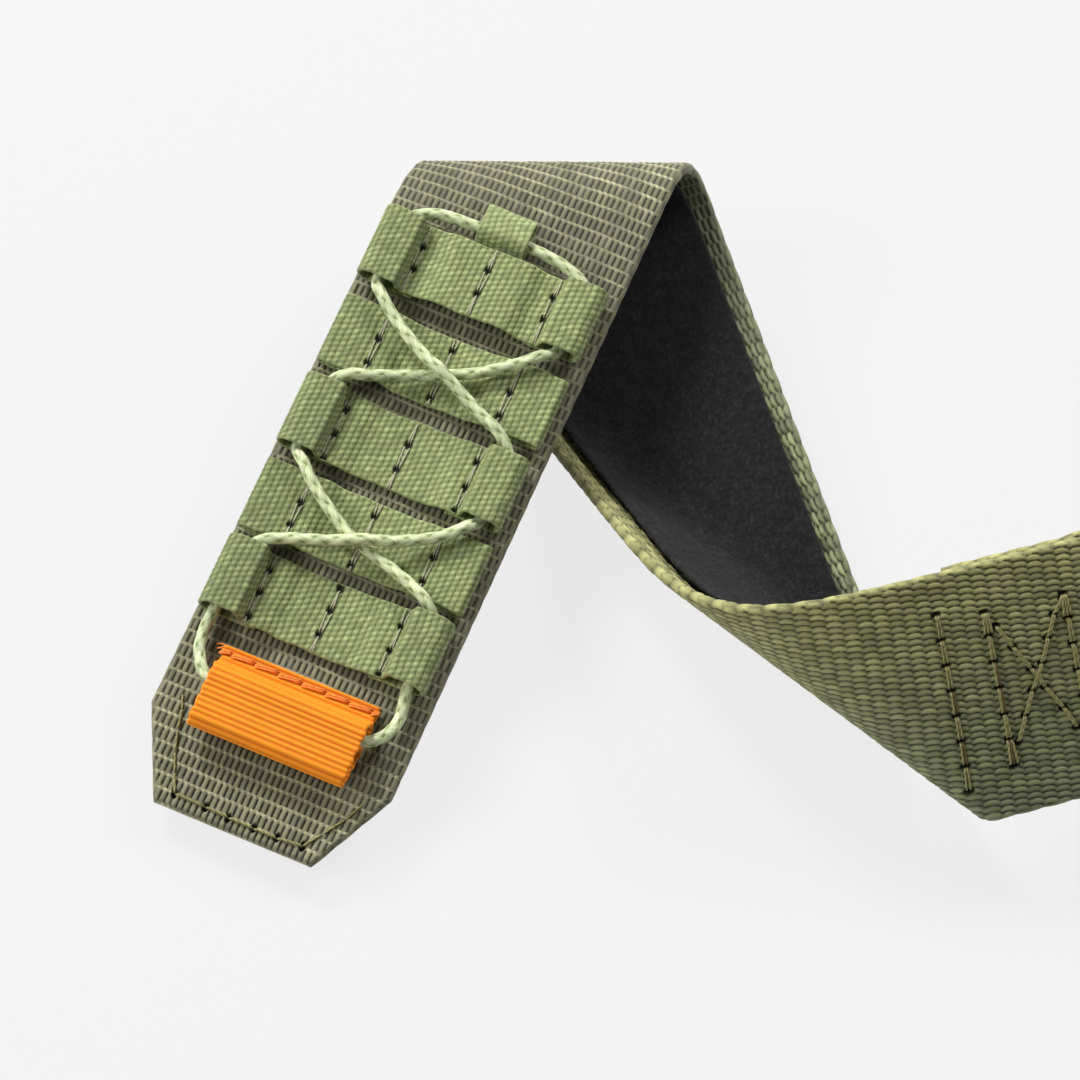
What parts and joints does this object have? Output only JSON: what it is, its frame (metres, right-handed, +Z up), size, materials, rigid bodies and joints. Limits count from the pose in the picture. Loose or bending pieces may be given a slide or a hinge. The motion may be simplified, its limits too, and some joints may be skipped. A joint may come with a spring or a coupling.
{
  "type": "nylon watch strap, long half",
  "caption": "Long half of a woven nylon watch strap, curled, with sewn ribbon bands, laced cord, pull tab, hook and loop back and quick release bar.",
  "frame": {"origin": "middle of the bounding box on the table plane", "axes": "+Z up from the table; the strap's tail points along -Y and its green bands face up; the spring bar end is at +X"},
  "size_m": [0.0892, 0.0806, 0.0228],
  "materials": {
    "webbing": "olive woven nylon webbing",
    "lining": "black brushed loop",
    "hook": "black hook tape",
    "ribbon": "green plain woven ribbon",
    "orange": "orange ribbed grosgrain",
    "cord": "pale green braided cord",
    "steel": "turned stainless steel",
    "spring": "spring wire",
    "knob": "turned stainless steel"
  },
  "bodies": {
    "strap": {"webbing": "webbing", "loop_lining": "lining", "hook_patch": "hook", "ribbon_band_1": "ribbon", "ribbon_band_2": "ribbon", "ribbon_band_3": "ribbon", "ribbon_band_4": "ribbon", "ribbon_band_5": "ribbon", "cord_tab": "ribbon", "pull_tab": "orange", "lacing_cord": "cord"},
    "spring_bar": {"bar_tube": "steel", "bar_spring": "spring"},
    "plain_pin": {"plain_pin": "steel"},
    "release_pin": {"release_pin": "steel", "release_knob": "knob"}
  },
  "joints": [
    {"name": "bar_turn", "type": "hinge", "parent": "strap", "child": "spring_bar", "pos_m": [0.03607, 0.00797, 0.01371], "axis": [-0.5474, 0.5784, 0.6049], "range_deg": [-25, 25]},
    {"name": "plain_pin_slide", "type": "slide", "parent": "spring_bar", "child": "plain_pin", "axis": [-0.5474, 0.5784, 0.6049], "range_m": [0, 0.0014], "stiffness_N_per_m": 600, "springref_m": -0.001},
    {"name": "release_pin_slide", "type": "slide", "parent": "spring_bar", "child": "release_pin", "axis": [0.5474, -0.5784, -0.6049], "range_m": [0, 0.0014], "stiffness_N_per_m": 600, "springref_m": -0.001, "deforming": ["bar_spring"]}
  ]
}
